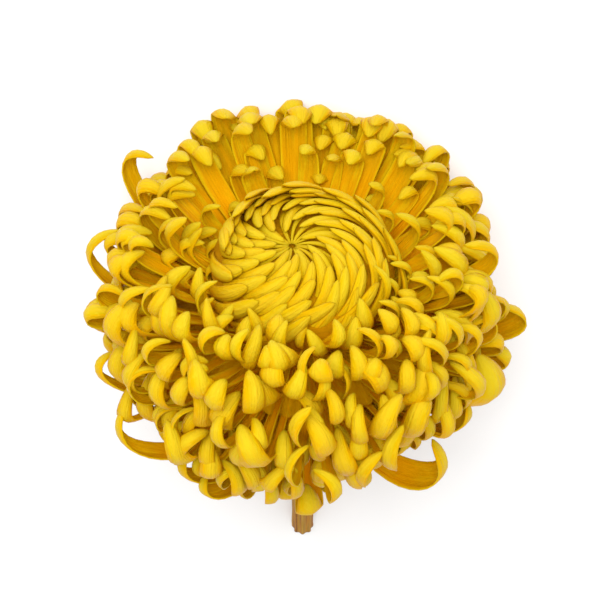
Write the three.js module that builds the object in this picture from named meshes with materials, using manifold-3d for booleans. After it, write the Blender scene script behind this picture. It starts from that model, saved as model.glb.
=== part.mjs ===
// A cut bigoudi chrysanthemum: one large incurved bloom on a short stem, lying on its side.
// Millimetres, +Z up. The pieces are worked out in the flower's own frame, which has its origin at
// the middle of the receptacle and +Z along the flower's axis, out of its face. The group then
// lays the flower down, so that it rests on a few outer petals and on the stem's cut end.
import * as THREE from "three";
import { mergeVertices } from "three/addons/utils/BufferGeometryUtils.js";
import Module from "manifold-3d";

const wasm = await Module();
wasm.setup();

const rad = THREE.MathUtils.degToRad;
const goldenAngle = rad(137.50776);

// Driving dimensions, in the flower's frame
const layTilt = rad(25.5); // the axis above the surface
const gap = 0.3; // between pieces that touch
const shortest = 0.01; // edges left in a fused piece
const corners = { together: 0.002, apart: 0.02 }; // corners that fall together, and how far they part
const stem = {
  length: 112, top: -14.5, radius: 3.6, groove: 0.3, ribs: 8, steps: 10,
  foot: 1.06, footPower: 4, neck: 1.2, neckPower: 8, // how much wider its ends are
};
const originHeight =
  stem.length * Math.sin(layTilt) + (stem.radius + stem.groove) * stem.foot * Math.cos(layTilt);
const pressed = { below: 3.5, relaxed: 1.5, flat: 0.7 }; // how petals give way to the surface

// Green cup under the bloom, with rows of bracts that lie against its wall
const cup = {
  bottom: -14.2, sides: 24, turn: 0, shift: 0,
  wall: [[0, -14.2], [5, -14.2], [9, -9], [12, -3.5], [12, -1.6], [0, -1.6]],
  room: [[0, -15], [7, -15], [14.5, -8], [16.3, -4], [16.3, -1.2], [0, -1.2]], // kept free of petals
};
const bracts = {
  rows: 3, inRow: 10, width: 6.2, thickness: 0.9, endWidth: 1, closing: 0.35, hookFrom: 1,
  footR: 5, footZ: 1.6, rowR: 2, rowZ: 3.3, length: 7.2, rowLength: -0.9, slope: 62, rowSlope: -6,
  bow: 1.3, shape: { foot: 0.75, widest: 0.4, gutter: [28, 24, 20] },
};
const bractSteps = [0, 0.5, 0.8, 1];

// Ray petals, from the lowest ones by the stem (share 0) to the ring round the heart (share 1).
// Each runs in a plane through the axis, from its base to its tip, with the direction that it
// starts in, the direction that its tip points in before it hooks inwards, and how far it holds
// each of them. On the side that faces the ground its petals are broader and more open.
const rays = { count: 156, crowding: 0.82, thickness: 1.2, endWidth: 0.9, closing: 0.8, hookFrom: 0.66 };
const rayStations = stationsOf(
  ["share", "baseR", "baseZ", "start", "run", "tipR", "tipZ", "tip", "pull", "width", "hook", "gutter"],
  [
    [0.0, 16, 2, -54, 22, 42, -8, 98, 20, 12.5, 45, 46],
    [0.16, 15, 3, -32, 30, 56, 4, 100, 28, 13.0, 52, 44],
    [0.36, 13, 4, -10, 38, 64, 20, 104, 34, 13.5, 58, 42],
    [0.54, 11, 4, 12, 42, 66, 38, 110, 34, 13.5, 64, 38],
    [0.7, 11, 7, 32, 44, 62, 53, 122, 30, 13.5, 66, 34],
    [0.82, 10, 9, 48, 40, 53, 60, 132, 26, 12.5, 64, 34],
    [0.92, 9, 10, 58, 36, 43, 59, 130, 22, 11.5, 52, 38],
    [1.0, 8, 11, 62, 32, 34, 54, 125, 18, 10, 40, 42],
  ],
);
const rayScatter = {
  azimuth: 0.06, start: 7, tip: 18, tipR: 5, tipZ: 5, sway: 0.15, bow: 0.06, width: 0.14, roll: 0.9,
  hook: 0.5,
};
const upperSide = { foot: 0.3, widest: 0.8, gutter: 4, width: 0.95 };
const lowerSide = { foot: 0.45, widest: 0.5, gutter: -8, width: 1.05 };
const rayGutter = { foot: 78, shut: 30 }; // half the angle that its section turns through
const raySteps = [0, 0.36, 0.62, 0.83, 1]; // where its cross sections stand
const rayCore = {
  wall: [[0, -1], [13, -1], [26, 4.4], [34, 13], [36, 24], [35, 33], [14, 33], [0, 24]],
  sides: 24, turn: 0.137, shift: 0,
};

// The outer petals that stand out from the rest: the azimuth and the height of the belly that
// they leave with, then radius, height and azimuth near the bend and at the tip
const loosePetals = stationsOf(
  ["leave", "low", "bendR", "bendZ", "bendAt", "tipR", "tipZ", "tipAt", "width", "roll", "hook"],
  [
    [145, 2, 74, 28, 143, 70, 44, 134, 9.0, 0.3, 40],
    [172, 6, 72, 31, 167, 64, 44, 166, 7.5, 0.4, 30],
    [214, -18, 69, 13, 203, 65, 22, 197, 7.5, 0.5, 30],
    [234, -24, 68, 0, 211, 65, 7, 208, 7.5, 0.5, 35],
    [258, -26, 62, 0, 235, 61, 7, 230, 7.5, 0.4, 30],
    [260, -34, 60, -14, 240, 59, -6, 236, 8.5, 0.3, 30],
    [290, -40, 58, -26, 317, 59, -3, 320, 11.0, -0.4, 50],
    [314, -26, 57, -10, 330, 60, -1, 334, 9.0, -0.4, 30],
    [336, -10, 64, 5, 337, 58, 19, 341, 14.0, -0.9, 20],
    [4, -4, 71, 5, 3, 67, 18, 6, 11.0, 0.5, 40],
    [352, -10, 67, -2, 354, 65, 8, 352, 9.0, 0.2, 30],
  ],
);
const looseFrom = { r: 14, z: 3, belly: 0.55, bendShare: 0.7 };
const looseShape = { foot: 0.4, widest: 0.6, gutter: [78, 42, 62] };

// Heart petals, closed over the middle in a swirl
const heart = {
  count: 63, thickness: 1.2, endWidth: 1, closing: 0.72, hookFrom: 0.76, wide: 7.8, narrow: 5.4,
  radius: 29, inmost: 1.1, lastRow: 0.84, crowding: 0.58, lift: 2.8, azimuthScatter: 0.08,
  arrival: 8, slant: 64, arrivalScatter: 6, pull: 19, pullLoss: 2, over: 3, hook: 14,
  looseFrom: 0.55, looseScatter: 26, looseLift: 4, looseReach: 3,
  rootR: 6, rootZ: 12, rootTurn: -0.15, sideR: 35, sideRSpread: 1.5, sideZ: 34, sideZSpread: 4,
  lag: 40, shape: { foot: 0.4, widest: 0.55, gutter: [60, 36, 60] },
};
const dome = {
  top: 58, bend: 0.0065, shoulder: 2.2e-7, dimple: 3.5, dimpleRadius: 4.5,
  offX: -3.5, offY: -1, shift: -4, // how far the swirl's middle, and the whole dome, lie off the axis
};
const heartSteps = [0, 0.5, 0.7, 0.86, 1];
const heartCore = {
  wall: [[0, 6], [12, 8], [24, 24], [29, 33], [30, 36], [27, 41], [20, 45], [10, 48], [0, 48.5]],
  sides: 24, turn: 0.062, shift: dome.shift,
};
// What the heart has to itself between the ray petals, which are trimmed to leave it free
const heartRoom = {
  wall: [
    [0, 8], [10, 10], [24, 26], [36, 35], [39.5, 39], [38.5, 46], [34, 53.5], [27, 60], [18, 64],
    [9, 66], [0, 66],
  ],
  sides: 28, turn: 0.041, shift: dome.shift,
};

// Seeded scatter, the same on each run
const noise = (i, k) => {
  const v = Math.sin(i * 12.9898 + k * 78.233 + 4.1) * 43758.5453;
  return v - Math.floor(v);
};
const scatter = (i, k) => noise(i, k) * 2 - 1;
const smooth = (x) => THREE.MathUtils.smoothstep(x, 0, 1);
const mix = THREE.MathUtils.lerp;
const polar = (r, z, azimuth) => new THREE.Vector3(r * Math.cos(azimuth), r * Math.sin(azimuth), z);
const sideOf = (azimuth) => new THREE.Vector3(Math.sin(azimuth), -Math.cos(azimuth), 0);
const stationAt = (share) => {
  const next = Math.max(1, rayStations.findIndex((s) => share <= s.share));
  const [a, b] = [rayStations[next - 1], rayStations[next]];
  const f = (share - a.share) / (b.share - a.share);
  return Object.fromEntries(Object.keys(a).map((k) => [k, mix(a[k], b[k], f)]));
};

// Rows of numbers as objects with named values
function stationsOf(names, rows) {
  return rows.map((row) => Object.fromEntries(names.map((name, k) => [name, row[k]])));
}

// A point's height over the surface that the flower lies on. A petal that would reach below the
// surface is pushed up along its whole width, and flattened where it meets it.
const up = new THREE.Vector3(0, -Math.cos(layTilt), Math.sin(layTilt));
const heightOf = (p) => originHeight + p.dot(up);
const pushUp = (p) => {
  const h = heightOf(p);
  return h < pressed.below ? pressed.below * Math.exp(h / pressed.below - 1) - h : 0;
};
const settle = (p, push, least) => {
  const h = heightOf(p);
  const raised = h + push;
  return p.addScaledVector(up, (raised < least + pressed.flat ? least : raised) - h);
};

// How a petal's outline closes at its tip, and its gutter and hook change, the same for all
const outline = {
  closePower: 2.2, closeRound: 0.5, narrowFrom: 0.6, gutterOpen: 0.55, gutterShut: 0.62, hookPower: 1.3,
  hops: 4,
};
const shareFrom = (t, from) => (t > from ? (t - from) / (1 - from) : 0);

// One petal as a closed blade: each cross section has two edges, the keel of its back and the
// middle of its face, and the last one closes to a point. The sections follow the curve without
// turning round it, apart from the roll, and the end bends inwards by the hook.
function petalGeometry(curve, side, width, form, shape, steps, hook, roll) {
  const points = [];
  const tangent = curve.getTangent(0);
  const across = side.clone().addScaledVector(tangent, -side.dot(tangent)).normalize();
  const level = across.clone();
  const middle = curve.getPoint(0);
  const bendAt = (t) => hook * shareFrom(t, form.hookFrom) ** outline.hookPower;
  let last = 0;
  for (const t of steps) {
    const hop = (t - last) / outline.hops;
    for (let k = 0; k < outline.hops; k++) {
      const from = last + k * hop;
      const stride = curve.getPoint(from + hop).sub(curve.getPoint(from));
      middle.add(stride.applyAxisAngle(level, bendAt(from + hop / 2)));
    }
    last = t;
    const next = curve.getTangent(t).applyAxisAngle(level, bendAt(t));
    across.applyQuaternion(new THREE.Quaternion().setFromUnitVectors(tangent, next));
    tangent.copy(next);
    const push = pushUp(middle);
    const free = 1 - Math.min(1, push / pressed.relaxed);
    level.copy(across).applyAxisAngle(tangent, roll * smooth(t) * free);
    const inward = new THREE.Vector3().crossVectors(level, tangent);
    if (t === 1) {
      points.push(settle(middle, push, form.thickness / 2));
      break;
    }
    const closed = (1 - shareFrom(t, form.closing) ** outline.closePower) ** outline.closeRound;
    const narrowed = mix(1, form.endWidth, smooth(shareFrom(t, outline.narrowFrom)));
    const wide = width * mix(shape.foot, 1, smooth(t / shape.widest)) * narrowed * closed;
    const opened = mix(shape.gutter[0], shape.gutter[1], smooth(t / outline.gutterOpen));
    const half = rad(mix(opened, shape.gutter[2], smooth(shareFrom(t, outline.gutterShut))));
    const arc = wide / (2 * half);
    const edge = arc * Math.sin(half);
    const depth = arc * (1 - Math.cos(half)) * free;
    const at = (x, y) => middle.clone().addScaledVector(level, x).addScaledVector(inward, y);
    points.push(
      settle(at(-edge, depth), push, 0),
      settle(at(0, -form.thickness / 2), push, 0),
      settle(at(edge, depth), push, 0),
      settle(at(0, form.thickness / 2), push, form.thickness),
    );
  }
  const faces = [0, 2, 3, 0, 1, 2];
  const spans = steps.length - 1;
  for (let k = 0; k < spans; k++) {
    for (let corner = 0; corner < 4; corner++) {
      const [a, b] = [4 * k + corner, 4 * k + ((corner + 1) % 4)];
      if (k === spans - 1) faces.push(a, 4 * spans, b);
      else faces.push(a, b + 4, b, a, a + 4, b + 4);
    }
  }
  const made = new THREE.BufferGeometry();
  const places = points.flatMap((p) => p.toArray());
  made.setAttribute("position", new THREE.Float32BufferAttribute(places, 3));
  return made.setIndex(faces);
}

function rayPetal(n) {
  const s = stationAt((n / (rays.count - 1)) ** rays.crowding);
  const azimuth = n * goldenAngle + scatter(n, 1) * rayScatter.azimuth;
  const start = rad(s.start + scatter(n, 2) * rayScatter.start);
  const tip = rad(s.tip + scatter(n, 3) * rayScatter.tip);
  const tipR = s.tipR + scatter(n, 4) * rayScatter.tipR;
  const tipZ = s.tipZ + scatter(n, 5) * rayScatter.tipZ;
  const sway = scatter(n, 6) * rayScatter.sway;
  const bow = sway * 0.2 + scatter(n, 18) * rayScatter.bow;
  const roll = scatter(n, 8) * rayScatter.roll;
  const hook = rad(s.hook) * (1 + scatter(n, 9) * rayScatter.hook);
  const upper = smooth(0.5 - 0.75 * Math.sin(azimuth));
  const sided = (key) => mix(lowerSide[key], upperSide[key], upper);
  const width = s.width * (1 + scatter(n, 7) * rayScatter.width) * sided("width");
  const gutter = [rayGutter.foot, s.gutter + sided("gutter"), s.gutter + rayGutter.shut];
  const shape = { foot: sided("foot"), widest: sided("widest"), gutter };
  const curve = new THREE.CubicBezierCurve3(
    polar(s.baseR, s.baseZ, azimuth),
    polar(s.baseR + s.run * Math.cos(start), s.baseZ + s.run * Math.sin(start), azimuth),
    polar(tipR - s.pull * Math.cos(tip), tipZ - s.pull * Math.sin(tip), azimuth + bow),
    polar(tipR, tipZ, azimuth + sway),
  );
  return petalGeometry(curve, sideOf(azimuth), width, rays, shape, raySteps, hook, roll);
}

// The curve's third control point is worked out from the point that it passes near the bend.
function loosePetal(n) {
  const p = loosePetals[n];
  const leave = rad(p.leave);
  const [t, s] = [looseFrom.bendShare, 1 - looseFrom.bendShare];
  const foot = polar(looseFrom.r, looseFrom.z, leave);
  const belly = polar(p.bendR * looseFrom.belly, p.low, leave);
  const tip = polar(p.tipR, p.tipZ, rad(p.tipAt));
  const pull = polar(p.bendR, p.bendZ, rad(p.bendAt))
    .addScaledVector(foot, -(s ** 3))
    .addScaledVector(belly, -3 * s * s * t)
    .addScaledVector(tip, -(t ** 3))
    .divideScalar(3 * s * t * t);
  const curve = new THREE.CubicBezierCurve3(foot, belly, pull, tip);
  return petalGeometry(curve, sideOf(leave), p.width, rays, looseShape, raySteps, rad(p.hook), p.roll);
}

// The height of the heart's dome, with its dimple, at a distance from the axis
const domeHeight = (r) => {
  const dimple = dome.dimple * Math.exp(-((r / dome.dimpleRadius) ** 2));
  return dome.top - dome.bend * r ** 2 - dome.shoulder * r ** 5 - dimple;
};
const offCentre = (p) => {
  const near = Math.max(0, 1 - (p.x ** 2 + p.y ** 2) / heart.radius ** 2);
  return new THREE.Vector3(p.x + dome.offX * near, p.y + dome.offY * near + dome.shift, p.z);
};

// A heart petal climbs the dome's side and comes in over its top at a slant, which is the
// larger the further its tip lies from the middle. That makes the swirl. The outermost are loose.
function heartPetal(n) {
  const share = n / (heart.count - 1);
  const row = Math.max(0, 1 - share / heart.lastRow) ** heart.crowding;
  const reach = row + heart.inmost / heart.radius;
  const loose = Math.max(0, reach - heart.looseFrom);
  const tipR = heart.radius * reach + scatter(n, 13) * heart.looseReach * loose;
  const azimuth = n * goldenAngle + scatter(n, 11) * heart.azimuthScatter;
  const turn = scatter(n, 12) * (heart.arrivalScatter + heart.looseScatter * loose);
  const arrival = rad(heart.arrival + heart.slant * reach + turn);
  const pull = heart.pull - heart.pullLoss * reach;
  const lift = heart.lift * reach + heart.looseLift * loose * noise(n, 14);
  const tip = polar(tipR, domeHeight(tipR) + lift, azimuth);
  const bend = tip.clone();
  bend.add(polar(pull * Math.cos(arrival), 0, azimuth));
  bend.add(polar(pull * Math.sin(arrival), 0, azimuth - Math.PI / 2));
  bend.z = domeHeight(Math.hypot(bend.x, bend.y)) + lift + heart.over;
  const rise = Math.atan2(bend.y, bend.x) - rad(heart.lag);
  const sideR = heart.sideR + heart.sideRSpread * (1 - share);
  const curve = new THREE.CubicBezierCurve3(
    polar(heart.rootR, heart.rootZ, rise + heart.rootTurn),
    polar(sideR, heart.sideZ + heart.sideZSpread * share, rise),
    offCentre(bend),
    offCentre(tip),
  );
  const width = mix(heart.wide, heart.narrow, share);
  return petalGeometry(curve, sideOf(rise), width, heart, heart.shape, heartSteps, rad(heart.hook), 0);
}

// A bract runs up along the cup's wall, its tip a little away from it
function bract(n) {
  const row = Math.floor(n / bracts.inRow);
  const azimuth = ((n + row / 2) / bracts.inRow) * 2 * Math.PI;
  const footR = bracts.footR + bracts.rowR * row;
  const footZ = cup.bottom + bracts.footZ + bracts.rowZ * row;
  const length = bracts.length + bracts.rowLength * row;
  const slope = rad(bracts.slope + bracts.rowSlope * row);
  const along = (f) => {
    const r = footR + f * length * Math.cos(slope) + bracts.bow * Math.ceil(f);
    return polar(r, footZ + f * length * Math.sin(slope), azimuth);
  };
  const curve = new THREE.QuadraticBezierCurve3(along(0), along(0.5), along(1));
  return petalGeometry(curve, sideOf(azimuth), bracts.width, bracts, bracts.shape, bractSteps, 0, 0);
}

// Solids and geometries
function solidOf(geometry) {
  const bare = geometry.clone().deleteAttribute("normal").deleteAttribute("uv");
  const { attributes, index } = mergeVertices(bare, 1e-4);
  const vertProperties = attributes.position.array;
  const triVerts = new Uint32Array(index.array);
  return new wasm.Manifold(new wasm.Mesh({ numProp: 3, vertProperties, triVerts }));
}
function geometryOf(solid) {
  const mesh = solid.getMesh();
  const made = new THREE.BufferGeometry();
  made.setAttribute("position", new THREE.BufferAttribute(new Float32Array(mesh.vertProperties), 3));
  made.setIndex(new THREE.BufferAttribute(new Uint32Array(mesh.triVerts), 1));
  made.computeVertexNormals();
  return made;
}
const turned = (wall, { sides, turn, shift }) => {
  const points = wall.map(([r, z]) => new THREE.Vector2(r, z));
  const made = new THREE.LatheGeometry(points, sides).rotateX(Math.PI / 2).rotateZ(turn);
  return solidOf(made.translate(0, shift, 0));
};
const shrunk = (wall, by) => {
  const middle = (wall[0][1] + wall.at(-1)[1]) / 2;
  return wall.map(([r, z]) => [Math.max(0, r - by), z - Math.sign(z - middle) * by]);
};
const fused = (solids) => wasm.Manifold.union(solids);
const repeated = (count, make) => Array.from({ length: count }, (_, n) => solidOf(make(n)));
// Where two corners of a fused piece fall together, one is drawn a hair into the solid.
function parted(geometry) {
  const places = geometry.attributes.position;
  const seen = new Set();
  const place = new THREE.Vector3();
  const inwards = new THREE.Vector3();
  for (let i = 0; i < places.count; i++) {
    place.fromBufferAttribute(places, i).divideScalar(corners.together);
    const names = [Math.round, Math.floor].map((cell) => cell.name + place.toArray().map(cell).join());
    if (names.some((name) => seen.has(name))) {
      inwards.fromBufferAttribute(geometry.attributes.normal, i).multiplyScalar(-corners.apart);
      place.fromBufferAttribute(places, i).add(inwards);
      places.setXYZ(i, ...place);
    }
    names.forEach((name) => seen.add(name));
  }
  return geometry;
}
const oneBody = (solid) => {
  const bodies = solid.simplify(shortest).decompose();
  return parted(geometryOf(bodies.reduce((a, b) => (a.volume() > b.volume() ? a : b)))); // scraps go
};

// Stem: ribbed, a little wider at its cut end and where it joins the cup
function stemGeometry() {
  const outline = new THREE.Shape(
    Array.from({ length: stem.ribs * 2 }, (_, k) => {
      const a = (k * Math.PI) / stem.ribs;
      const r = stem.radius + (k % 2 ? -stem.groove : stem.groove);
      return new THREE.Vector2(r * Math.cos(a), r * Math.sin(a));
    }),
  );
  const depth = stem.length + stem.top;
  const made = new THREE.ExtrudeGeometry(outline, { depth, steps: stem.steps, bevelEnabled: false });
  made.translate(0, 0, -stem.length);
  const places = made.attributes.position;
  for (let i = 0; i < places.count; i++) {
    const down = (stem.top - places.getZ(i)) / depth;
    const foot = (stem.foot - 1) * down ** stem.footPower;
    const neck = (stem.neck - 1) * (1 - down) ** stem.neckPower;
    const flare = 1 + foot + neck;
    places.setXY(i, places.getX(i) * flare, places.getY(i) * flare);
  }
  return mergeVertices(made.deleteAttribute("normal").deleteAttribute("uv"), 1e-4);
}

// The nodes
function rayPetalsGeometry() {
  const blades = [...repeated(rays.count, rayPetal), ...repeated(loosePetals.length, loosePetal)];
  const bloom = fused([turned(rayCore.wall, rayCore), ...blades]);
  return oneBody(bloom.subtract(turned(heartRoom.wall, heartRoom)).subtract(turned(cup.room, cup)));
}
function heartPetalsGeometry() {
  const swirl = fused([turned(heartCore.wall, heartCore), ...repeated(heart.count, heartPetal)]);
  return oneBody(swirl.intersect(turned(shrunk(heartRoom.wall, gap), heartRoom)));
}
function involucreGeometry() {
  return oneBody(fused([turned(cup.wall, cup), ...repeated(bracts.rows * bracts.inRow, bract)]));
}

const pieces = [
  ["ray_petals", rayPetalsGeometry(), { color: 0xe9bd18, roughness: 0.6, metalness: 0 }],
  ["heart_petals", heartPetalsGeometry(), { color: 0xe4a90c, roughness: 0.6, metalness: 0 }],
  ["involucre", involucreGeometry(), { color: 0x7f9440, roughness: 0.65, metalness: 0 }],
  ["stem", stemGeometry(), { color: 0x8d7434, roughness: 0.7, metalness: 0 }],
];

// The flower, laid down
const flower = new THREE.Group();
for (const [name, geometry, look] of pieces) {
  const mesh = new THREE.Mesh(geometry, new THREE.MeshStandardMaterial(look));
  mesh.name = name;
  flower.add(mesh);
}
flower.rotation.set(Math.PI / 2 - layTilt, 0, Math.PI);
flower.position.z = originHeight;

// The part's origin is the middle of its box, on the surface that it lies on
const part = new THREE.Group();
part.add(flower);
const box = new THREE.Box3().setFromObject(part, true);
flower.position.x -= (box.min.x + box.max.x) / 2;
flower.position.y -= (box.min.y + box.max.y) / 2;

export default part;
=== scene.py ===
import math
import bmesh
import bpy
from mathutils import Matrix, Quaternion, Vector


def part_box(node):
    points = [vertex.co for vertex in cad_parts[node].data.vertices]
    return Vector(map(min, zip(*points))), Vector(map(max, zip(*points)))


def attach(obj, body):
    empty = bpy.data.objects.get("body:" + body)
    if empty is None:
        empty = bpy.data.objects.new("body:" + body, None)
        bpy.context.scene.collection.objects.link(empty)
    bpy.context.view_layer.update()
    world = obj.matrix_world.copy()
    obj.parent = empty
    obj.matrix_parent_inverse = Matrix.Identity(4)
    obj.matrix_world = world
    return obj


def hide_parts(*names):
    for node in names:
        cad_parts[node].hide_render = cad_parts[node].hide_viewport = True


# A cut bigoudi chrysanthemum, one large incurved bloom on a short stem, lying on its side.
# It is worked out in millimetres in the flower's own frame: its origin is the middle of the
# receptacle and +Z runs along the flower's axis, out of its face. layDown then lays it down.

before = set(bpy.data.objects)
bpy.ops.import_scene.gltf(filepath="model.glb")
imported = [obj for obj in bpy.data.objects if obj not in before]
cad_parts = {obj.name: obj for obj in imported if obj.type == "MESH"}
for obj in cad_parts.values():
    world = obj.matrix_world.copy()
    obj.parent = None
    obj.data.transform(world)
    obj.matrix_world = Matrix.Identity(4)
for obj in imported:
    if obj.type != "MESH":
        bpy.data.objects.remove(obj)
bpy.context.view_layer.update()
mm = 0.001
goldenAngle = math.radians(137.50776)
seamGap = 1e-7  # points nearer than this, in metres, are one point

# How the flower lies on its stem's end: how far its axis leans up, and the stem's measures there
lying = {"tilt": 25.5, "stemLength": 112.0, "stemRadius": 3.6, "stemGroove": 0.3, "stemFoot": 1.06}
tilt = math.radians(lying["tilt"])
footRadius = (lying["stemRadius"] + lying["stemGroove"]) * lying["stemFoot"]
originHeight = lying["stemLength"] * math.sin(tilt) + footRadius * math.cos(tilt)
stemReach = lying["stemLength"] * math.cos(tilt) + footRadius * math.sin(tilt)
stemLow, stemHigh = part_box("stem")
origin = Vector(((stemLow.x + stemHigh.x) / 2, stemHigh.y - stemReach * mm, originHeight * mm))
upward = Vector((0, -math.cos(tilt), math.sin(tilt)))
turned = Matrix(((-1, 0, 0), (0, -math.sin(tilt), -math.cos(tilt)), upward))
layDown = Matrix.Translation(origin) @ turned.to_4x4() @ Matrix.Scale(mm, 4)

# Seeded scatter, the same on each run: a petal draws one number of each kind
seed = {"petal": 12.9898, "kind": 78.233, "start": 4.1, "spread": 43758.5453}
draws = {
    "azimuth": 1, "start": 2, "tip": 3, "tipR": 4, "tipZ": 5, "sway": 6, "width": 7, "roll": 8, "hook": 9,
    "tone": 15, "bow": 18, "short": 21, "thinned": 30, "frontZ": 31, "keel": 33, "early": 34,
    "looseTone": 16,
    "heartAzimuth": 11, "heartTurn": 12, "heartReach": 13, "heartLift": 14, "heartTone": 17,
    "bractWander": 22, "bractLength": 23, "bractTone": 24,
}


# From 0 to 1
def noise(n, kind):
    v = math.sin(n * seed["petal"] + draws[kind] * seed["kind"] + seed["start"]) * seed["spread"]
    return v - math.floor(v)


# From -1 to 1
def scatter(n, kind):
    return noise(n, kind) * 2 - 1


def smooth(x):
    x = max(0.0, min(1.0, x))
    return x * x * (3 - 2 * x)


# From 0 where x is at start to 1 where it is at full, whichever of these is the larger
def between(x, start, full):
    return smooth((x - start) / (full - start))


def mix(a, b, f):
    return a + (b - a) * f


def polar(r, z, azimuth):
    return Vector((r * math.cos(azimuth), r * math.sin(azimuth), z))


def sideOf(azimuth):
    return Vector((math.sin(azimuth), -math.cos(azimuth), 0))


# Direction of a course, a cubic curve of four points, at a share t of its way
def slope(course, t):
    a, b, c, d = course
    s = 1 - t
    return (b - a) * 3 * s * s + (c - b) * 6 * s * t + (d - c) * 3 * t * t


# Petals that would reach below the surface are pushed up and flattened where they meet it
pressing = {"below": 3.5, "relaxed": 1.5, "least": 0.3}


def pushUp(p):
    height = originHeight + p.dot(upward)
    if height >= pressing["below"]:
        return 0.0
    return pressing["below"] * math.exp(height / pressing["below"] - 1) - height


def settle(p, push):
    height = originHeight + p.dot(upward)
    return p + upward * (max(height + push, pressing["least"]) - height)


# One petal: a grid bent along its course, its cross section an arc that opens and shuts, its end
# hooked towards its face. The sections follow the course without turning round it, apart from roll.
blade = {
    "steps": 3,  # short steps from one section to the next
    "narrowing": (0.6, 1), "keeled": (0, 0.6),  # along the petal, where its end narrows and its keel forms
    "waves": 11, "waveShift": 40, "otherMargin": 1.5,  # waves of the margin, as angles
    "leastWidth": 1e-4,
}


def hookAt(t, shape, hook):
    return hook * max(0.0, (t - shape["hookFrom"]) / (1 - shape["hookFrom"])) ** shape["hookPower"]


# Each section: its share of the way, its middle, the directions across it and in to the face, how
# far the surface pushes it up, and how free of that it is
def sectionsOf(course, side, form, shape, hook, roll):
    tangent = slope(course, 0).normalized()
    level = (side - tangent * side.dot(tangent)).normalized()
    rolled = level.copy()
    place = course[0].copy()
    sections = []
    last = 0.0
    for j in range(form["along"] + 1):
        t = 1 - (1 - j / form["along"]) ** form["bunching"]
        step = (t - last) / blade["steps"]
        for k in range(blade["steps"]):
            halfway = last + step * (k + 0.5)
            place = place + Quaternion(rolled, hookAt(halfway, shape, hook)) @ slope(course, halfway) * step
        last = t
        ahead = (Quaternion(rolled, hookAt(t, shape, hook)) @ slope(course, t)).normalized()
        level = tangent.rotation_difference(ahead) @ level
        level = (level - ahead * level.dot(ahead)).normalized()
        tangent = ahead
        push = pushUp(place)
        free = 1 - min(1.0, push / pressing["relaxed"])
        rolled = Quaternion(tangent, roll * smooth(t) * free) @ level
        sections.append((t, place.copy(), rolled.copy(), rolled.cross(tangent), push, free))
    return sections


def widthAt(t, across, width, form, shape, tone):
    closed = form["closing"] - shape["early"]
    closing = max(0.0, (t - closed) / (1 - closed))
    wave = blade["waves"] * t + blade["waveShift"] * tone + (blade["otherMargin"] if across > 0 else 0)
    wide = width * mix(shape["foot"], 1, between(t, 0, shape["widest"]) ** shape["club"])
    wide *= 1 + shape["wave"] * t * math.sin(wave)
    wide *= mix(1, shape["endWidth"], between(t, *blade["narrowing"]))
    return wide * max(0.0, 1 - closing ** form["closePower"]) ** form["closeRound"]


# Half the angle that a section turns through
def halfAngleAt(t, form, shape):
    atFoot, inMiddle, atTip = shape["gutter"]
    half = mix(atFoot, inMiddle, between(t, 0, form["gutterOpen"]))
    return math.radians(mix(half, atTip, between(t, form["gutterShut"], 1)))


def makePetal(bm, course, side, width, form, shape, hook, roll, tone, share):
    sections = sectionsOf(course, side, form, shape, hook, roll)
    made = bmesh.ops.create_grid(
        bm, x_segments=form["across"], y_segments=form["along"], size=0.5, calc_uvs=True,
    )
    for v in made["verts"]:
        across = v.co.x * 2
        t, middle, sideways, inward, push, free = sections[round((v.co.y + 0.5) * form["along"])]
        half = halfAngleAt(t, form, shape)
        arc = max(widthAt(t, across, width, form, shape, tone), blade["leastWidth"]) / (2 * half)
        roundDepth = 1 - math.cos(across * half)
        foldDepth = abs(across) * (1 - math.cos(half))
        depth = mix(roundDepth, foldDepth, shape["keel"] * between(t, *blade["keeled"]))
        p = middle + sideways * (arc * math.sin(across * half)) + inward * (arc * depth * free)
        v.co = layDown @ settle(p, push)
        mark(bm, v, {"tone": tone, "share": share, "along": t, "across": across})


def newMesh(*layers):
    bm = bmesh.new()
    bm.loops.layers.uv.new("UVMap")
    for layer in layers:
        bm.verts.layers.float.new(layer)
    return bm


# What petals, bracts and the beds under them carry for their finish: a tone of each one's own, its
# share of the way up the bloom, and where a point is along and across it
def newPetals():
    return newMesh("tone", "share", "along", "across")


def mark(bm, v, values):
    for layer, value in values.items():
        v[bm.verts.layers.float[layer]] = value


def closeUp(bm):
    bmesh.ops.remove_doubles(bm, verts=bm.verts, dist=seamGap)
    bmesh.ops.recalc_face_normals(bm, faces=bm.faces)


def finishPiece(name, bm, materials, nodes, thickness=None):
    mesh = bpy.data.meshes.new(name)
    bm.to_mesh(mesh)
    bm.free()
    mesh.shade_smooth()
    piece = bpy.data.objects.new(name, mesh)
    bpy.context.scene.collection.objects.link(piece)
    for material in materials:
        mesh.materials.append(material)
    if thickness:
        wall = piece.modifiers.new("thickness", "SOLIDIFY")
        wall.thickness = thickness * mm
        wall.offset = 0
        wall.material_offset = 1
    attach(piece, "root")
    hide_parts(*nodes)
    print(name, "made")


# What a bed under petals or bracts has unless it says otherwise
plainBed = {
    "steps": 48, "shift": 0.0,
    "ribs": 0, "ribDepth": 0.0, "ribbed": (0, 8),  # ribs come in over these radii
    "toneX": 7, "toneY": 3, "share": 0.5, "along": 0.45, "across": 0.3,
}


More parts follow.
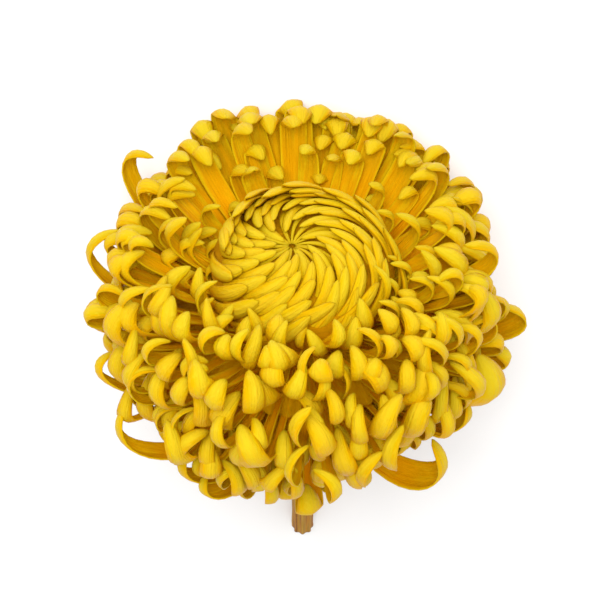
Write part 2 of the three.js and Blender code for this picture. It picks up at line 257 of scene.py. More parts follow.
# A bed is turned round the axis from its wall, r and z of each point
def finishBed(name, bed, material, nodes):
    bm = newPetals()
    points = [bm.verts.new((r, 0, z)) for r, z in bed["wall"]]
    lines = [bm.edges.new(pair) for pair in zip(points, points[1:])]
    bmesh.ops.spin(
        bm, geom=points + lines, cent=(0, 0, 0), axis=(0, 0, 1), angle=2 * math.pi,
        steps=bed["steps"], use_merge=True,
    )
    shift = Vector((0, bed["shift"], 0))
    for v in bm.verts:
        azimuth = math.atan2(v.co.y, v.co.x)
        rib = math.cos(bed["ribs"] * azimuth)
        height = bed["ribDepth"] * rib * between(math.hypot(v.co.x, v.co.y), *bed["ribbed"])
        tone = 0.5 + 0.5 * math.sin(bed["toneX"] * v.co.x + bed["toneY"] * v.co.y)
        across = 0.5 - 0.5 * rib if bed["ribs"] else bed["across"]
        v.co = layDown @ (v.co + polar(height, 0, azimuth) + shift)
        mark(bm, v, {"tone": tone, "share": bed["share"], "along": bed["along"], "across": across})
    closeUp(bm)
    finishPiece(name, bm, [material], nodes)


# Shader maths as expressions
class Value:
    def __init__(self, finish, socket):
        self.finish = finish
        self.socket = socket

    def math(self, operation, a, b):
        return self.finish.node("ShaderNodeMath", {"operation": operation}, {0: a, 1: b})

    def __add__(self, other):
        return self.math("ADD", self, other)

    def __radd__(self, other):
        return self.math("ADD", other, self)

    def __mul__(self, other):
        return self.math("MULTIPLY", self, other)

    def __rmul__(self, other):
        return self.math("MULTIPLY", other, self)


mixColours = {"first": 6, "second": 7, "result": 2}  # colour sockets of a Mix node


# A material and its nodes
class Finish:
    def __init__(self, name, roughness, specular=0.5):
        self.material = bpy.data.materials.new(name)
        self.material.use_nodes = True
        self.tree = self.material.node_tree
        self.shader = self.tree.nodes["Principled BSDF"]
        self.shader.inputs["Roughness"].default_value = roughness
        self.shader.inputs["Specular IOR Level"].default_value = specular

    def node(self, kind, settings=None, sockets=None, output=0):
        made = self.tree.nodes.new(kind)
        for key, value in (settings or {}).items():
            if key == "stops":
                while len(made.color_ramp.elements) < len(value):
                    made.color_ramp.elements.new(0.5)
                for element, (position, color) in zip(made.color_ramp.elements, value):
                    element.position = position
                    element.color = (*color, 1)
            else:
                setattr(made, key, value)
        for key, value in (sockets or {}).items():
            self.feed(made.inputs[key], value)
        return Value(self, made.outputs[output])

    def feed(self, socket, value):
        if isinstance(value, Value):
            self.tree.links.new(value.socket, socket)
        else:
            socket.default_value = value

    def attributes(self, *names):
        kind = "ShaderNodeAttribute"
        return {name: self.node(kind, {"attribute_name": name}, output="Fac") for name in names}

    def ramp(self, factor, stops):
        return self.node("ShaderNodeValToRGB", {"stops": stops}, {0: factor})

    def blend(self, first, second, factor):
        colours = [v if isinstance(v, Value) else (*v, 1) for v in (first, second)]
        sockets = {0: factor, mixColours["first"]: colours[0], mixColours["second"]: colours[1]}
        settings = {"data_type": "RGBA", "clamp_factor": True}
        return self.node("ShaderNodeMix", settings, sockets, output=mixColours["result"])

    # From 0 where the value is at start to 1 where it is at full
    def step(self, value, start, full):
        settings = {"interpolation_type": "SMOOTHSTEP"}
        return self.node("ShaderNodeMapRange", settings, {0: value, 1: start, 2: full})

    def grain(self, vector, scale, detail):
        return self.node("ShaderNodeTexNoise", {}, {"Vector": vector, "Scale": scale, "Detail": detail})

    # Grain over three fields: how often it changes in each of them, and its detail
    def pattern(self, fields, grain):
        *often, detail = grain
        place = {n: field * many for n, (field, many) in enumerate(zip(fields, often))}
        return self.grain(self.node("ShaderNodeCombineXYZ", {}, place), 1.0, detail)

    # Coats over a colour, one on the other. Each one: its colour, the fields that it follows, each
    # with where it starts and where it is full, and its share there
    def coats(self, colour, look, fields, rows):
        for coat, spans, share in rows:
            mask = share
            for field, start, full in spans:
                mask = self.step(fields[field], start, full) * mask
            colour = self.blend(colour, look[coat], mask)
        self.feed(self.shader.inputs["Base Color"], colour)

    def bump(self, height, strength, distance):
        sockets = {"Strength": strength, "Distance": distance, "Height": height}
        self.feed(self.shader.inputs["Normal"], self.node("ShaderNodeBump", {}, sockets))

    def letThrough(self, share, colour):
        glow = self.node("ShaderNodeBsdfTranslucent", {}, {"Color": (*colour, 1)})
        surface = Value(self, self.shader.outputs["BSDF"])
        both = self.node("ShaderNodeMixShader", {}, {0: share, 1: surface, 2: glow})
        self.feed(self.tree.nodes["Material Output"].inputs["Surface"], both)


# Petal finishes: the back lemon, the face golden, both a deeper orange towards the foot, with fine veins
petalLook = {
    # Colours at the foot, in the middle and at the tip, and where along the petal these are. The feet are
    # brighter than the tips: painted bounce light in the shade among the crowded feet, over the petal's own
    # deeper orange there.
    "back": [(0.985, 0.34, 0.0001), (0.88, 0.42, 0.0002), (0.58, 0.375, 0.0005)],
    "face": [(0.985, 0.34, 0.0001), (0.49, 0.225, 0.0002), (0.60, 0.34, 0.0005)],
    "heart": [(0.97, 0.42, 0.0002), (0.72, 0.37, 0.0005), (0.68, 0.41, 0.001)],
    "places": [0.30, 0.62, 0.92],
    # The last colour on the next line, a brown, is painted shade: it darkens the crevices between heart
    # petals, along their margins and on the bed under them
    "edge": (0.70, 0.48, 0.002), "olive": (0.52, 0.41, 0.001), "line": (0.42, 0.13, 0.0002),
    # The first colour on the next line, a deep orange, marks the veins and each petal's own tone, and is
    # painted shade on the sides of each back, which turn away from the light
    # The last colour on the next line, a pale lemon, is a painted highlight near the tips, and also
    # lightens the mottling
    "deep": (0.80, 0.31, 0.0002), "crest": (0.74, 0.54, 0.012),
    # How often each grain changes across, along and from petal to petal, and its detail
    "veins": (6.5, 2.5, 50, 3.0), "cloud": (1.5, 4, 90, 2.0), "mottle": (5, 30, 70, 3.0),
    "coats": [
        ("deep", [("veins", 0.46, 0.68)], 0.5),
        # Lighter mottled speckles over the upper half: the petal's own papery mottling, in the painted
        # highlight colour
        ("crest", [("mottle", 0.5, 0.68), ("along", 0.5, 0.9)], 0.45),
        ("edge", [("cloud", 0.46, 0.7)], 0.5),
        # Painted highlight: a lighter strip down the middle of the back towards the tip
        ("crest", [("along", 0.7, 0.9), ("fromRib", 0.4, 0.0)], 0.5),
        ("olive", [("share", 0.22, 0.0)], 0.35),
        ("deep", [("tone", 0.0, 1.0)], 0.2),
    ],
    "roughness": 0.42, "veinRoughness": 0.2, "specular": 0.12, "sheenTint": (1.0, 0.72, 0.04, 1),
    "mottleHeight": 0.7, "bump": 0.7, "bumpDepth": 0.0008,
    "through": 0.12, "throughColour": (0.98, 0.53, 0.001),
}


# The rim is its last coat: a colour, how near the margin it starts, and its share at the margin
def petalFinish(name, side, rim):
    finish = Finish(name, petalLook["roughness"], petalLook["specular"])
    finish.shader.inputs["Specular Tint"].default_value = petalLook["sheenTint"]
    finish.letThrough(petalLook["through"], petalLook["throughColour"])
    fields = finish.attributes("across", "along", "tone", "share")
    place = [fields["across"], fields["along"], fields["tone"]]
    fields["fromRib"] = fields["across"] * fields["across"]
    for grain in ("veins", "cloud", "mottle"):
        fields[grain] = finish.pattern(place, petalLook[grain])
    ground = finish.ramp(fields["along"], list(zip(petalLook["places"], petalLook[side])))
    rimColour, rimFrom, rimShare = rim
    rows = petalLook["coats"] + [(rimColour, [("fromRib", rimFrom, 1.0)], rimShare)]
    finish.coats(ground, petalLook, fields, rows)
    roughness = petalLook["roughness"] + fields["veins"] * petalLook["veinRoughness"]
    finish.feed(finish.shader.inputs["Roughness"], roughness)
    height = fields["veins"] + fields["mottle"] * petalLook["mottleHeight"]
    finish.bump(height, petalLook["bump"], petalLook["bumpDepth"])
    return finish.material


petalFace = petalFinish("petalFace", "face", ("edge", 0.72, 0.5))
# The back's rim coat is painted shade: the sides of each petal's tube go deep orange, turned away from the
# light
petalBack = petalFinish("petalBack", "back", ("deep", 0.2, 0.5))
# The heart petals' margins take the brown: painted shade in the crevices where they overlap
heartFace = petalFinish("heartFace", "face", ("line", 0.72, 0.45))
heartBack = petalFinish("heartBack", "heart", ("line", 0.78, 0.78))

# Ray petals, from the lowest ones by the stem (share 0) to the ring round the heart (share 1)
rays = {
    "count": 560, "crowding": 0.82, "thickness": 0.5, "across": 6, "along": 20, "bunching": 1.5,
    "closing": 0.905, "closePower": 2.0, "closeRound": 0.55,
    "gutterFoot": 82, "gutterOpen": 0.55, "gutterShut": 0.62, "gutterMost": 88,
}
# What differs from the far side, where petals stand as a curtain, to the near side, where they are
# clubs on narrow stalks that lean all ways: the value at the far side and at the near side
sides = {
    "foot": (0.42, 0.26), "widest": (0.5, 0.86), "club": (1.0, 2.6), "gutter": (-2, 8), "shut": (38, 28),
    "endWidth": (0.95, 0.95), "width": (0.96, 0.80), "widthScatter": (0.8, 1.9), "sway": (0.35, 1.0),
    "tipZ": (0.5, 1.2), "tipR": (0.6, 1.0), "roll": (0.6, 1.7), "hook": (1.35, 1.85),
    "hookScatter": (0.5, 0.3), "hookFrom": (0.72, 0.77), "hookPower": (1.2, 1.6),
    "shortR": (4, 13), "shortZ": (7, 5), "keel": (0.5, 0.9), "early": (0.05, 0.16),
}
# Groups of petals, each with where it starts and where it is full
groups = {
    "near": (0.4, -0.85),  # by the azimuth's sine
    "far": (0.85, 0.45),  # by how near
    "flank": (0.45, 0.85),  # by the azimuth's cosine, to either side
    "inner": (0.8, 0.94), "outer": (0.98, 0.78),  # by share
}
# How far the bloom reaches at each azimuth, as a share of its full reach
reaches = [
    (0, 0.90), (25, 0.96), (48, 1.06), (64, 1.10), (90, 1.08), (116, 1.08), (135, 0.96), (150, 0.91),
    (172, 0.92), (186, 0.98), (215, 0.97), (270, 1.0), (300, 0.95), (320, 0.89), (335, 0.90), (360, 0.90),
]
rayScatter = {
    "azimuth": 0.06, "start": 7, "tip": 18, "tipR": 5, "tipZ": 5, "sway": 0.15, "swayBefore": 0.2,
    "bow": 0.06, "width": 0.14, "roll": 0.9, "wave": 0.07, "slimmer": 0.24,
    "short": 0.34,  # share of petals that are shorter
    "thinned": 0.3, "thinnedFrom": 0.1, "frontR": 3, "frontZ": 13,  # the curtain, where it meets the heart
}
rayKeys = (
    "share", "baseR", "baseZ", "start", "run", "tipR", "tipZ", "tip", "pull", "width", "hook", "gutter",
)
rayStations = [
    (0.00, 16, 2, -54, 22, 42, -8, 98, 20, 9.2, 45, 46),
    (0.16, 15, 3, -32, 30, 56, 4, 100, 28, 9.4, 52, 44),
    (0.36, 13, 4, -10, 38, 64, 20, 104, 34, 9.8, 58, 42),
    (0.54, 11, 4, 12, 42, 66, 38, 110, 34, 10.0, 64, 38),
    (0.70, 11, 7, 32, 44, 62, 53, 122, 30, 10.2, 66, 34),
    (0.82, 10, 9, 48, 40, 53, 60, 132, 26, 9.8, 64, 34),
    (0.92, 9, 10, 58, 36, 43, 59, 130, 22, 8.8, 52, 38),
    (1.00, 8, 11, 62, 32, 34, 54, 125, 18, 7.6, 40, 42),
]


def stationAt(share):
    for a, b in zip(rayStations, rayStations[1:]):
        if share <= b[0]:
            f = (share - a[0]) / (b[0] - a[0])
            return {key: mix(x, y, f) for key, x, y in zip(rayKeys, a, b)}


def reachAt(azimuth):
    degrees = math.degrees(azimuth) % 360
    for a, b in zip(reaches, reaches[1:]):
        if degrees <= b[0]:
            return mix(a[1], b[1], between(degrees, a[0], b[0]))


def rayPetal(bm, n):
    share = (n / (rays["count"] - 1)) ** rays["crowding"]
    s = stationAt(share)
    azimuth = n * goldenAngle + scatter(n, "azimuth") * rayScatter["azimuth"]
    near = between(math.sin(azimuth), *groups["near"])
    side = {key: mix(far, close, near) for key, (far, close) in sides.items()}
    front = between(share, *groups["inner"]) * between(near, *groups["far"])
    if front > rayScatter["thinnedFrom"] and noise(n, "thinned") < rayScatter["thinned"]:
        return
    start = math.radians(s["start"] + scatter(n, "start") * rayScatter["start"])
    tip = math.radians(s["tip"] + scatter(n, "tip") * rayScatter["tip"])
    short = max(0.0, 1 - noise(n, "short") / rayScatter["short"]) * between(share, *groups["outer"])
    tipR = s["tipR"] * reachAt(azimuth) + scatter(n, "tipR") * rayScatter["tipR"] * side["tipR"]
    tipR -= short * side["shortR"] + front * rayScatter["frontR"]
    tipZ = s["tipZ"] + scatter(n, "tipZ") * rayScatter["tipZ"] * side["tipZ"]
    tipZ -= short * side["shortZ"] + front * rayScatter["frontZ"] * noise(n, "frontZ")
    sway = scatter(n, "sway") * rayScatter["sway"] * side["sway"]
    before = sway * rayScatter["swayBefore"] + scatter(n, "bow") * rayScatter["bow"]
    width = s["width"] * side["width"]
    width *= 1 + scatter(n, "width") * rayScatter["width"] * side["widthScatter"]
    width *= 1 - rayScatter["slimmer"] * between(abs(math.cos(azimuth)), *groups["flank"])
    roll = scatter(n, "roll") * rayScatter["roll"] * side["roll"]
    hook = math.radians(s["hook"]) * (1 + scatter(n, "hook") * side["hookScatter"]) * side["hook"]
    course = (
        polar(s["baseR"], s["baseZ"], azimuth),
        polar(s["baseR"] + s["run"] * math.cos(start), s["baseZ"] + s["run"] * math.sin(start), azimuth),
        polar(tipR - s["pull"] * math.cos(tip), tipZ - s["pull"] * math.sin(tip), azimuth + before),
        polar(tipR, tipZ, azimuth + sway),
    )
    middle = s["gutter"] + side["gutter"]
    shape = {key: side[key] for key in ("foot", "widest", "club", "endWidth", "hookFrom", "hookPower")}
    shape["gutter"] = (rays["gutterFoot"], middle, min(rays["gutterMost"], middle + side["shut"]))
    shape["keel"] = side["keel"] * noise(n, "keel")
    shape["early"] = side["early"] * noise(n, "early")
    shape["wave"] = rayScatter["wave"]
    makePetal(bm, course, sideOf(azimuth), width, rays, shape, hook, roll, noise(n, "tone"), share)


# The outer petals that stand out from the rest. Each one: the azimuth and height that it leaves
# with, a point near its bend, its tip (each r, z and azimuth), its width, its roll and its hook.
loosePetals = [
    (145, 2, (75, 31, 142), (73, 46, 136), 9.0, 0.3, 60),
    (176, 0, (70, 25, 171), (66, 44, 167), 7.5, 0.4, 40),
    (214, -18, (69, 13, 203), (65, 22, 197), 7.5, 0.5, 30),
    (236, -31, (68, -5, 217), (71, 10, 209), 8.5, 0.4, 40),
    (256, -32, (61, -9, 234), (61, 2, 229), 8.5, 0.4, 30),
    (260, -34, (60, -14, 240), (59, -6, 236), 8.5, 0.3, 30),
    (294, -34, (59, -22, 317), (62, -3, 322), 12.0, -0.4, 45),
    (312, -23, (58, -8, 329), (63, 3, 333), 9.0, -0.4, 35),
    (335, -11, (66, 3, 335), (61, 19, 340), 16.0, -0.9, 20),
    (4, -4, (71, 5, 3), (67, 18, 6), 11.0, 0.5, 40),
    (352, -10, (67, -2, 354), (65, 8, 352), 9.0, 0.2, 30),
    (273, -38, (51, -27, 273), (48, -15, 274), 10.5, 0.3, 60),
    (262, -34, (50, -20, 262), (48, -9, 263), 9.0, -0.3, 60),
    (301, -20, (46, -12, 301), (50, 0, 302), 9.0, 0.2, 60),
    (236, -24, (46, -18, 238), (50, -6, 238), 9.0, 0.2, 60),
    (288, -10, (46, -2, 289), (49, 10, 290), 9.0, 0.2, 70),
    (252, -10, (46, -2, 252), (49, 10, 251), 9.0, -0.3, 70),
    (226, -14, (46, -6, 226), (50, 6, 225), 9.0, 0.2, 60),
    (222, -20, (44, -12, 230), (50, -2, 231), 9.0, -0.2, 60),
    (313, -16, (46, -8, 311), (50, 3, 311), 9.0, -0.2, 60),
]
loose = {
    "footR": 14, "footZ": 3, "bellyR": 0.55, "share": 0.3,
    "bendAt": 0.7,  # share of its way at which a petal runs through the point near its bend
    "shape": {
        "foot": 0.3, "widest": 0.6, "club": 1.0, "endWidth": 0.84, "gutter": (80, 42, 62),
        "hookFrom": 0.7, "hookPower": 1.3, "keel": 0.5, "early": 0.03, "wave": 0.05,
    },
}


def loosePetal(bm, n):
    leave, low, bendAt, tipAt, width, roll, hook = loosePetals[n]
    azimuth = math.radians(leave)
    foot = polar(loose["footR"], loose["footZ"], azimuth)
    belly = polar(bendAt[0] * loose["bellyR"], low, azimuth)
    through = polar(bendAt[0], bendAt[1], math.radians(bendAt[2]))
    tip = polar(tipAt[0], tipAt[1], math.radians(tipAt[2]))
    t = loose["bendAt"]
    s = 1 - t
    pull = (through - foot * s**3 - belly * (3 * s * s * t) - tip * t**3) / (3 * s * t * t)
    makePetal(
        bm, (foot, belly, pull, tip), sideOf(azimuth), width, rays, loose["shape"],
        math.radians(hook), roll, noise(n, "looseTone"), loose["share"],
    )


# The bed under the ray petals is ribbed, as the crowd of their feet. Its grooves take the painted side
# shade of the petal backs.
petalBed = {
    **plainBed, "steps": 192, "ribs": 48, "ribDepth": 0.8,
    "wall": [(0, -1), (11.5, -1.5), (16, 0), (29, 1.5), (38, 8), (42, 15), (34, 20), (20, 24), (0, 26)],
}
finishBed("petalBed", petalBed, petalBack, ["ray_petals"])
rayRows = ("lowerRayPetals", "middleRayPetals", "upperRayPetals")
for row, name in enumerate(rayRows):
    bm = newPetals()
    for n in range(rays["count"] * row // len(rayRows), rays["count"] * (row + 1) // len(rayRows)):
        rayPetal(bm, n)
    finishPiece(name, bm, [petalFace, petalBack], ["ray_petals"], rays["thickness"])
bm = newPetals()
for n in range(len(loosePetals)):
    loosePetal(bm, n)
finishPiece("loosePetals", bm, [petalFace, petalBack], ["ray_petals"], rays["thickness"])

# Heart petals, closed over the middle in a swirl. Each one rises at the side of a dome, then turns
# over it and along the swirl to its tip. Its reach runs from 1 at the rim to 0 in the middle.
heart = {
    "count": 108, "thickness": 0.5, "across": 6, "along": 22, "bunching": 1.3,
    "closing": 0.84, "closePower": 2.2, "closeRound": 0.5, "gutterOpen": 0.45, "gutterShut": 0.62,
    "radius": 29, "inmost": 1.1, "lastRow": 0.81, "crowding": 0.72, "lift": 2.8, "over": 3,
    "wide": 7.8, "narrow": 3.6, "widthPower": 1.3, "endWidth": 0.9, "lastEndWidth": 0.22, "hook": 14,
    # How a petal comes in to its tip: its angle from straight in, and how far back its bend is
    "arrival": 8, "slant": 64, "pull": 19, "pullLoss": 2, "lag": 40,
    "rootR": 6, "rootZ": 12, "rootTurn": -0.15,
    "sideR": 35, "sideRSpread": 1.5, "sideZ": 34, "sideZSpread": 4,
    "azimuthScatter": 0.08, "arrivalScatter": 6,
    "looseFrom": 0.55, "looseScatter": 26, "looseLift": 4, "looseReach": 3,
    # Tongues at the far left, which reach further in from the rim
    "tongueAt": 130, "tongues": (0.26, 0.14), "tongueIn": 7, "tongueLift": 2.2, "tongueWide": 1.6,
    "shape": {
        "foot": 0.35, "widest": 0.55, "club": 1.0, "gutter": (60, 42, 64),
        "hookFrom": 0.76, "hookPower": 1.2, "keel": 0.5, "early": 0.0, "wave": 0.05,
    },
}
# The dome that they lie on. off and shift: how far the swirl's middle, and the whole dome, are from
# the axis. Its bed follows it from below, and ends in a wall down to the ray petals.
dome = {
    "top": 58, "bend": 0.0065, "shoulder": 2.2e-7, "dimple": 3.5, "dimpleRadius": 4.5,
    "offX": -3.5, "offY": -1.0, "shift": -4.0,
    "bedBelow": 4.5, "bedRadii": (0, 4, 8, 12, 16, 20, 24, 27),
    "bedWall": [(29, 44), (28, 34), (20, 22), (0, 12)],
}


def domeHeight(r):
    dimple = dome["dimple"] * math.exp(-((r / dome["dimpleRadius"]) ** 2))
    return dome["top"] - dome["bend"] * r * r - dome["shoulder"] * r**5 - dimple


def offCentre(p):
    inside = max(0.0, 1 - (math.hypot(p.x, p.y) / heart["radius"]) ** 2)
    return p + Vector((dome["offX"], dome["offY"], 0)) * inside + Vector((0, dome["shift"], 0))


def heartPetal(bm, n):
    share = n / (heart["count"] - 1)
    reach = max(0.0, 1 - share / heart["lastRow"]) ** heart["crowding"] + heart["inmost"] / heart["radius"]
    free = max(0.0, reach - heart["looseFrom"])
    azimuth = n * goldenAngle + scatter(n, "heartAzimuth") * heart["azimuthScatter"]
    turn = scatter(n, "heartTurn") * (heart["arrivalScatter"] + heart["looseScatter"] * free)
    arrival = math.radians(heart["arrival"] + heart["slant"] * reach + turn)
    pull = heart["pull"] - heart["pullLoss"] * reach
    tongue = max(0.0, math.cos(azimuth - math.radians(heart["tongueAt"])))
    tongue *= between(share, *heart["tongues"])
    tipR = heart["radius"] * reach + scatter(n, "heartReach") * heart["looseReach"] * free
    tipR -= tongue * heart["tongueIn"]
    lift = heart["lift"] * reach + heart["looseLift"] * free * noise(n, "heartLift")
    lift += tongue * heart["tongueLift"]
    tip = polar(tipR, domeHeight(tipR) + lift, azimuth)
    bend = tip + polar(pull * math.cos(arrival), 0, azimuth)
    bend = bend + polar(pull * math.sin(arrival), 0, azimuth - math.pi / 2)
    bend.z = domeHeight(math.hypot(bend.x, bend.y)) + lift + heart["over"]
    rise = math.atan2(bend.y, bend.x) - math.radians(heart["lag"])
    sideR = heart["sideR"] + heart["sideRSpread"] * (1 - share)
    sideZ = heart["sideZ"] + heart["sideZSpread"] * share
    course = (
        polar(heart["rootR"], heart["rootZ"], rise + heart["rootTurn"]),
        polar(sideR, sideZ, rise),
        offCentre(bend),
        offCentre(tip),
    )
    width = mix(heart["narrow"], heart["wide"], min(1, reach) ** heart["widthPower"])
    width += tongue * heart["tongueWide"]
    endWidth = heart["endWidth"] if share < heart["lastRow"] else heart["lastEndWidth"]
    shape = {**heart["shape"], "endWidth": endWidth}
    hook = math.radians(heart["hook"])
    makePetal(bm, course, sideOf(rise), width, heart, shape, hook, 0, noise(n, "heartTone"), 1)


# The heart's bed is all margin, so it takes the brown in full: painted shade that shows through the gaps
# between the heart petals
heartBed = {
    **plainBed, "share": 1.0, "across": 1.0, "shift": dome["shift"],
    "wall": [(r, domeHeight(r) - dome["bedBelow"]) for r in dome["bedRadii"]] + dome["bedWall"],
}
finishBed("heartBed", heartBed, heartBack, ["heart_petals"])
bm = newPetals()
for n in range(heart["count"]):
    heartPetal(bm, n)
finishPiece("heartPetals", bm, [heartFace, heartBack], ["heart_petals"], heart["thickness"])

# Green cup with rows of pointed bracts that lie against its wall
cup = {
    **plainBed,
    "wall": [
        (0, -14.2), (4.6, -14.2), (5, -13.8), (6.9, -11.4), (8.5, -9), (10.2, -6), (11.4, -3.5),
        (11.4, -1.6), (0, -1.6),
    ],
}
bracts = {
    "rows": 4, "inRow": 12, "width": 5.0, "thickness": 0.4, "across": 4, "along": 10, "bunching": 1.0,
    "closing": 0.3, "closePower": 1.7, "closeRound": 0.8, "gutterOpen": 0.5, "gutterShut": 0.6,
    "footR": 6.0, "footZ": -12.7, "rowR": 1.5, "rowZ": 2.5, "rowTurn": 0.5, "wander": 0.08,
    "length": 7.2, "rowLength": -0.6, "lengthScatter": 0.1, "slope": 62, "rowSlope": -5,
    # Points of its course: each one's share of its length, and of its bow outwards
    "bow": 2.2, "course": [(0, 0), (1 / 3, 0.7), (0.67, 1.0), (1, 1.0)],
    "shape": {
        "foot": 0.75, "widest": 0.4, "club": 1.0, "endWidth": 0.8, "gutter": (34, 30, 24),
        "hookFrom": 0.99, "hookPower": 1.0, "keel": 0.3, "early": 0.0, "wave": 0.0,
    },
}
bractLook = {
    "green": (0.085, 0.135, 0.015), "pale": (0.21, 0.24, 0.04), "brown": (0.20, 0.105, 0.02),
    "rib": (0.15, 0.21, 0.03), "roughness": 0.6, "specular": 0.2, "bump": 0.5, "bumpDepth": 0.0003,
    # How often each grain changes across, along and from bract to bract, and its detail
    "fibres": (9, 2, 40, 3.0), "patches": (1.5, 3, 70, 2.0),
    "coats": [
        ("pale", [("patches", 0.4, 0.7)], 0.5),
        ("rib", [("fromRib", 0.06, 0.0)], 0.7),
        ("pale", [("fibres", 0.45, 0.7)], 0.35),
        ("brown", [("fromRib", 0.6, 1.0)], 0.6),
        ("brown", [("along", 0.86, 1.0)], 0.7),
    ],
}


def bract(bm, n):
    row = n // bracts["inRow"]
    place = n + bracts["rowTurn"] * row + scatter(n, "bractWander") * bracts["wander"]
    azimuth = place / bracts["inRow"] * 2 * math.pi
    foot = polar(bracts["footR"] + bracts["rowR"] * row, bracts["footZ"] + bracts["rowZ"] * row, azimuth)
    length = bracts["length"] + bracts["rowLength"] * row
    length *= 1 + bracts["lengthScatter"] * scatter(n, "bractLength")
    slant = math.radians(bracts["slope"] + bracts["rowSlope"] * row)
    ahead = polar(math.cos(slant), math.sin(slant), azimuth)
    out = polar(bracts["bow"], 0, azimuth)
    course = [foot + ahead * (length * along) + out * bowed for along, bowed in bracts["course"]]
    share = row / (bracts["rows"] - 1)
    makePetal(
        bm, course, sideOf(azimuth), bracts["width"], bracts, bracts["shape"],
        0.0, 0.0, noise(n, "bractTone"), share,
    )


def bractFinish(name):
    finish = Finish(name, bractLook["roughness"], bractLook["specular"])
    fields = finish.attributes("across", "along", "tone")
    place = [fields["across"], fields["along"], fields["tone"]]
    fields["fromRib"] = fields["across"] * fields["across"]
    for grain in ("fibres", "patches"):
        fields[grain] = finish.pattern(place, bractLook[grain])
    finish.coats(bractLook["green"], bractLook, fields, bractLook["coats"])
    finish.bump(fields["fibres"], bractLook["bump"], bractLook["bumpDepth"])
    return finish.material


bractSkin = bractFinish("bractSkin")
finishBed("involucreCup", cup, bractSkin, ["involucre"])
bm = newPetals()
for n in range(bracts["rows"] * bracts["inRow"]):
    bract(bm, n)
finishPiece("involucreBracts", bm, [bractSkin], ["involucre"], bracts["thickness"])

# Ribbed stem with leaf scars, its end cut across so that the pith shows
stem = {
    "length": lying["stemLength"], "radius": lying["stemRadius"], "groove": lying["stemGroove"],
    "top": -14.5, "ribs": 8, "around": 64, "along": 96,
    # How much wider it is at its foot and neck, and how fast that fades
    "foot": lying["stemFoot"], "footPower": 4, "neck": 1.2, "neckPower": 8,
    # Low knobs between two shares of its length: how many round it, and how they shift down it
    "knobHeight": 0.05, "knobs": [(3, 31), (5, -47)], "knobsFrom": 0.2, "knobsTo": 0.98,
    # Scars: the share of its length and the angle of each one
    "scars": [(0.30, 0.9), (0.56, 3.3), (0.83, 5.4)],
    "scarHeight": 0.45, "scarLong": 0.012, "scarWide": 0.42,
    # Its cut end from rim to middle: the share of its radius, and how far it is back from the end
    "cut": [(1.0, 0.0), (0.985, 0.12), (0.9, 0.1), (0.62, 0.02), (0.55, 0.35), (0.3, 0.5), (0.0, 0.55)],
    "cutMark": 0.001,  # tells the cut's rim from the bark
}
stemLook = {
    "dark": (0.15, 0.050, 0.004), "amber": (0.38, 0.140, 0.008), "light": (0.50, 0.22, 0.02),
    "olive": (0.30, 0.150, 0.010), "pith": (0.68, 0.58, 0.32), "ring": (0.34, 0.27, 0.07),
    "scar": (0.19, 0.09, 0.025), "roughness": 0.62, "specular": 0.1,
    # How often each grain changes over the stem's breadth, both ways, and down it, and its detail
    "stripes": (3.2, 3.2, 2.4, 3.0), "fibres": (14, 14, 9, 4.0), "flecks": (6, 6, 90, 2.0),
    "ground": [(0.34, "dark"), (0.45, "amber"), (0.55, "olive"), (0.66, "light")],
    "coats": [
        ("dark", [("fibres", 0.52, 0.72)], 0.6),
        ("light", [("flecks", 0.62, 0.8)], 0.5),
        ("scar", [("scar", 0.3, 0.9)], 0.8),
        ("ring", [("cut", 0.05, 0.12)], 1.0),
        ("pith", [("cut", 0.34, 0.44)], 1.0),
    ],
    "fleckHeight": 0.4, "bump": 0.6, "bumpDepth": 0.0004,
}


def stemFlare(down):
    foot = (stem["foot"] - 1) * down ** stem["footPower"]
    return 1 + foot + (stem["neck"] - 1) * (1 - down) ** stem["neckPower"]


def scarAt(down, angle):
    height = 0.0
    for at, side in stem["scars"]:
        turn = (angle - side + math.pi) % (2 * math.pi) - math.pi
        away = ((down - at) / stem["scarLong"]) ** 2 + (turn / stem["scarWide"]) ** 2
        height = max(height, math.exp(-away))
    return height


def knobAt(down, angle):
    if not stem["knobsFrom"] < down < stem["knobsTo"]:
        return 0.0
    return stem["knobHeight"] * sum(math.sin(many * angle + shift * down) for many, shift in stem["knobs"])


# A grid wrapped round the stem. Its rows run from the middle of the top down the side, then in over
# the cut end: the share of the radius, the share of the length, and how far back.
def stemMesh():
    bm = newMesh("round", "turn", "along", "cut", "scar")
    rows = [(0.0, 0.0, 0.0)] + [(1.0, k / stem["along"], 0.0) for k in range(stem["along"])]
    rows += [(share, 1.0, back) for share, back in stem["cut"]]
    made = bmesh.ops.create_grid(
        bm, x_segments=stem["around"], y_segments=len(rows) - 1, size=0.5, calc_uvs=True,
    )
    for v in made["verts"]:
        angle = (v.co.x + 0.5) * 2 * math.pi
        j = round((v.co.y + 0.5) * (len(rows) - 1))
        share, down, back = rows[j]
        scar = scarAt(down, angle)
        ribbed = stem["radius"] + stem["groove"] * math.cos(stem["ribs"] * angle)
        r = (ribbed * stemFlare(down) + knobAt(down, angle) + scar * stem["scarHeight"]) * share
        v.co = layDown @ polar(r, mix(stem["top"], -stem["length"], down) + back, angle)
        cut = 1.0 - share + stem["cutMark"] if j > stem["along"] else 0.0
        turns = {"round": math.cos(angle), "turn": math.sin(angle)}
        mark(bm, v, {**turns, "along": down, "cut": cut, "scar": scar})
    closeUp(bm)
    return bm


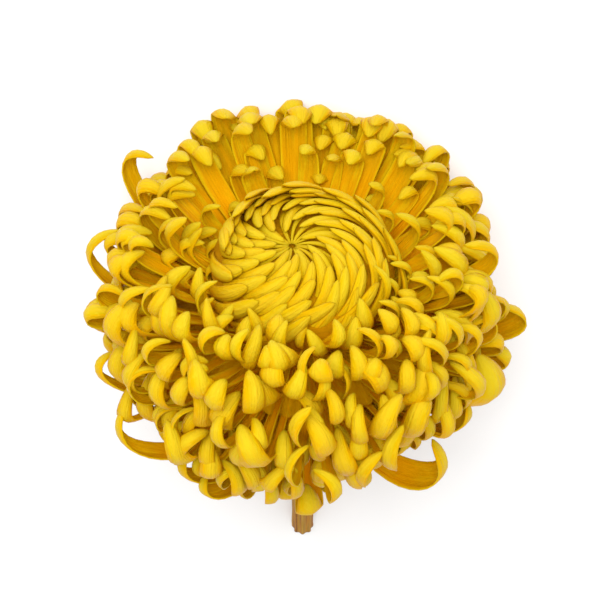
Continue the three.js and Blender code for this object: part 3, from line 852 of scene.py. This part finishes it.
def stemFinish(name):
    finish = Finish(name, stemLook["roughness"], stemLook["specular"])
    fields = finish.attributes("round", "turn", "along", "cut", "scar")
    place = [fields["round"], fields["turn"], fields["along"]]
    for grain in ("stripes", "fibres", "flecks"):
        fields[grain] = finish.pattern(place, stemLook[grain])
    stops = [(position, stemLook[key]) for position, key in stemLook["ground"]]
    finish.coats(finish.ramp(fields["stripes"], stops), stemLook, fields, stemLook["coats"])
    height = fields["fibres"] + fields["flecks"] * stemLook["fleckHeight"]
    finish.bump(height, stemLook["bump"], stemLook["bumpDepth"])
    return finish.material


finishPiece("stemStalk", stemMesh(), [stemFinish("stemBark")], ["stem"])

# Pale floor and soft light
studio = {
    "floor": (0.97, 0.97, 0.965), "floorShade": (0.94, 0.94, 0.93), "shading": 0.2,
    "floorGrain": 90.0, "floorDetail": 2.0, "floorRoughness": 0.9, "floorSize": 3.0,
    "sky": (1, 1, 1, 1), "skyStrength": 0.85, "gamma": 1.25,
    # The key light, in millimetres from the head: towards the camera, up and to the left
    "key": 3.9, "keySize": 0.35, "keyAway": 640, "keyUp": 90, "keyLeft": 50,
}
floorFinish = Finish("floorPaper", studio["floorRoughness"])
floorPlace = floorFinish.node("ShaderNodeTexCoord", output="Object")
tooth = floorFinish.grain(floorPlace, studio["floorGrain"], studio["floorDetail"])
paper = floorFinish.blend(studio["floor"], studio["floorShade"], tooth * studio["shading"])
floorFinish.feed(floorFinish.shader.inputs["Base Color"], paper)
bm = bmesh.new()
bmesh.ops.create_grid(bm, x_segments=1, y_segments=1, size=studio["floorSize"])
floorMesh = bpy.data.meshes.new("floor")
bm.to_mesh(floorMesh)
bm.free()
floor = bpy.data.objects.new("floor", floorMesh)
floorMesh.materials.append(floorFinish.material)
bpy.context.scene.collection.objects.link(floor)

# The camera looks down on the flower's head, and leans this many degrees off its axis towards the
# near side. Its aim is in pixels off the head.
view = {
    "lean": 40.0, "distance": 600.0, "headHeight": 25.0, "aimX": -3.0, "aimUp": -7.0,
    "pixels": 600, "pixelsPerMm": 3.086, "sensor": 36, "nearest": 0.01,
}
lean = math.radians(view["lean"])
towards = Vector((0, -math.sin(lean), math.cos(lean)))
cameraUp = Vector((0, math.cos(lean), math.sin(lean)))
cameraRight = Vector((1, 0, 0))
head = Vector((0, 0, view["headHeight"]))
aimX = view["aimX"] / view["pixelsPerMm"]
aimUp = view["aimUp"] / view["pixelsPerMm"]
aim = head + cameraRight * aimX + cameraUp * aimUp
cameraPlace = layDown @ (aim + towards * view["distance"])
aiming = turned @ Matrix((cameraRight, cameraUp, towards)).transposed()
cameraData = bpy.data.cameras.new("camera")
cameraData.lens = view["sensor"] * view["distance"] / (view["pixels"] / view["pixelsPerMm"])
cameraData.clip_start = view["nearest"]
camera = bpy.data.objects.new("camera", cameraData)
bpy.context.scene.collection.objects.link(camera)
camera.matrix_world = Matrix.Translation(cameraPlace) @ aiming.to_4x4()
bpy.context.scene.camera = camera

world = bpy.data.worlds.new("studio")
world.use_nodes = True
world.node_tree.nodes["Background"].inputs["Color"].default_value = studio["sky"]
world.node_tree.nodes["Background"].inputs["Strength"].default_value = studio["skyStrength"]
bpy.context.scene.world = world
keyData = bpy.data.lights.new("key", "AREA")
keyData.size = studio["keySize"]
keyData.energy = studio["key"]
key = bpy.data.objects.new("key", keyData)
keyAbove = head + towards * studio["keyAway"] + cameraUp * studio["keyUp"]
keyPlace = layDown @ (keyAbove - cameraRight * studio["keyLeft"])
keyTurn = (keyPlace - layDown @ head).to_track_quat("Z", "Y")
key.matrix_world = Matrix.Translation(keyPlace) @ keyTurn.to_matrix().to_4x4()
bpy.context.scene.collection.objects.link(key)
bpy.context.scene.view_settings.view_transform = "Standard"
bpy.context.scene.view_settings.gamma = studio["gamma"]
print("stage and camera set")
